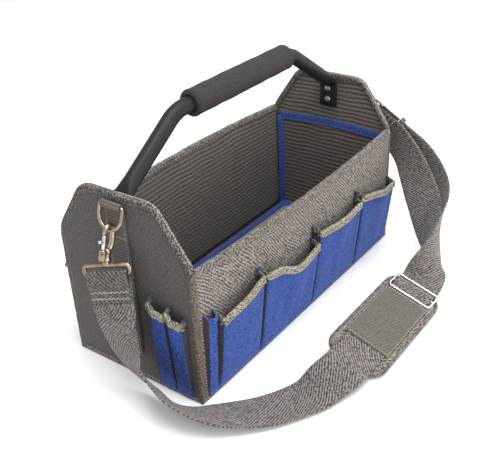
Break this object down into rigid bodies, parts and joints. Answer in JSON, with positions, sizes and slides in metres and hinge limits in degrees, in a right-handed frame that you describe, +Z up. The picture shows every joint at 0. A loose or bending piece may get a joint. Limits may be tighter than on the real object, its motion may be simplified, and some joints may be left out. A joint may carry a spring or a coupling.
{
  "type": "garden tool bag",
  "caption": "Open-topped fabric tool tote with gabled ends, padded tube handle, outside pockets and a clip-on shoulder strap with a sliding pad.",
  "frame": {"origin": "centre of the bag's underside, on the surface it stands on", "axes": "+Z up; +X along the bag towards its far end; -Y towards the pocketed front, where the shoulder strap lies"},
  "size_m": [0.4859, 0.3254, 0.281],
  "materials": {
    "grey_fabric": "woven polyester, warm grey",
    "grey_trim": "woven tape, grey",
    "blue_fabric": "woven polyester, blue",
    "blue_tape": "woven tape, blue",
    "lining_cloth": "ribbed lining, grey",
    "floor_cloth": "smooth lining, grey green",
    "stiff_board": "plain stiffener board, hidden",
    "tube_paint": "satin black powder coat on steel tube",
    "grip_foam": "matte closed cell foam",
    "steel": "bright plated wire and castings",
    "strap_webbing": "woven webbing, grey",
    "pad_cloth": "woven cover with bound edge, grey"
  },
  "bodies": {
    "bag": {"base_fabric": "grey_fabric", "front_panel": "grey_fabric", "rear_panel": "grey_fabric", "near_gable_panel": "grey_fabric", "far_gable_panel": "grey_fabric", "front_top_binding": "grey_trim", "rear_top_binding": "grey_trim", "near_gable_binding": "grey_trim", "far_gable_binding": "grey_trim", "base_board": "stiff_board", "front_board": "stiff_board", "rear_board": "stiff_board", "near_gable_board": "stiff_board", "far_gable_board": "stiff_board", "front_lining": "lining_cloth", "rear_lining": "lining_cloth", "near_gable_lining": "lining_cloth", "far_gable_lining": "lining_cloth", "floor_lining": "floor_cloth", "front_floor_tape": "blue_tape", "rear_floor_tape": "blue_tape", "near_inner_tape": "blue_tape", "far_inner_tape": "blue_tape", "front_pocket_1": "blue_fabric", "front_pocket_2": "blue_fabric", "front_pocket_3": "blue_fabric", "front_pocket_4": "blue_fabric", "front_pocket_5": "blue_fabric", "rear_pocket_1": "blue_fabric", "rear_pocket_2": "blue_fabric", "rear_pocket_3": "blue_fabric", "rear_pocket_4": "blue_fabric", "near_end_pocket_1": "blue_fabric", "near_end_pocket_2": "blue_fabric", "far_end_pocket_1": "blue_fabric", "far_end_pocket_2": "blue_fabric", "handle_tube": "tube_paint", "foam_grip": "grip_foam", "near_lower_rivet": "steel", "near_upper_rivet": "steel", "far_lower_rivet": "steel", "far_upper_rivet": "steel", "strap_near": "strap_webbing", "strap_far": "strap_webbing", "strap_return": "strap_webbing", "near_ring_anchor": "strap_webbing", "far_ring_anchor": "strap_webbing"},
    "near_link": {"near_d_ring": "steel", "near_swivel_eye": "steel", "near_strap_loop": "strap_webbing"},
    "near_hook": {"near_snap_hook": "steel"},
    "near_trigger": {"near_hook_trigger": "steel"},
    "far_link": {"far_d_ring": "steel", "far_swivel_eye": "steel", "far_strap_loop": "strap_webbing"},
    "far_hook": {"far_snap_hook": "steel"},
    "far_trigger": {"far_hook_trigger": "steel"},
    "pad": {"shoulder_pad": "pad_cloth", "pad_top_panel": "pad_cloth"},
    "slide": {"strap_slide": "steel"}
  },
  "joints": [
    {"name": "near_ring_swing", "type": "hinge", "parent": "bag", "child": "near_link", "pos_m": [-0.2043, 0, 0.207], "axis": [0, 1, 0], "range_deg": [0, 25], "deforming": ["strap_near"]},
    {"name": "near_hook_swivel", "type": "hinge", "parent": "near_link", "child": "near_hook", "pos_m": [-0.20693, 0, 0.19839], "axis": [-0.2924, 0, -0.9563], "range_deg": [-12, 12]},
    {"name": "near_trigger_pull", "type": "slide", "parent": "near_hook", "child": "near_trigger", "axis": [-0.2924, 0, -0.9563], "range_m": [0, 0.006], "stiffness_N_per_m": 200},
    {"name": "far_ring_swing", "type": "hinge", "parent": "bag", "child": "far_link", "pos_m": [0.2043, 0, 0.207], "axis": [0, -1, 0], "range_deg": [0, 25], "deforming": ["strap_far", "strap_return"]},
    {"name": "far_hook_swivel", "type": "hinge", "parent": "far_link", "child": "far_hook", "pos_m": [0.20693, 0, 0.19839], "axis": [0.18, -0.788, -0.5888], "range_deg": [-12, 12]},
    {"name": "far_trigger_pull", "type": "slide", "parent": "far_hook", "child": "far_trigger", "axis": [0.18, -0.788, -0.5888], "range_m": [0, 0.006], "stiffness_N_per_m": 200},
    {"name": "pad_slide", "type": "slide", "parent": "bag", "child": "pad", "axis": [1, 0, 0], "range_m": [-0.012, 0], "deforming": ["strap_near"]},
    {"name": "slide_adjust", "type": "slide", "parent": "bag", "child": "slide", "axis": [1, 0, 0], "range_m": [0, 0.006], "deforming": ["strap_far"]}
  ]
}
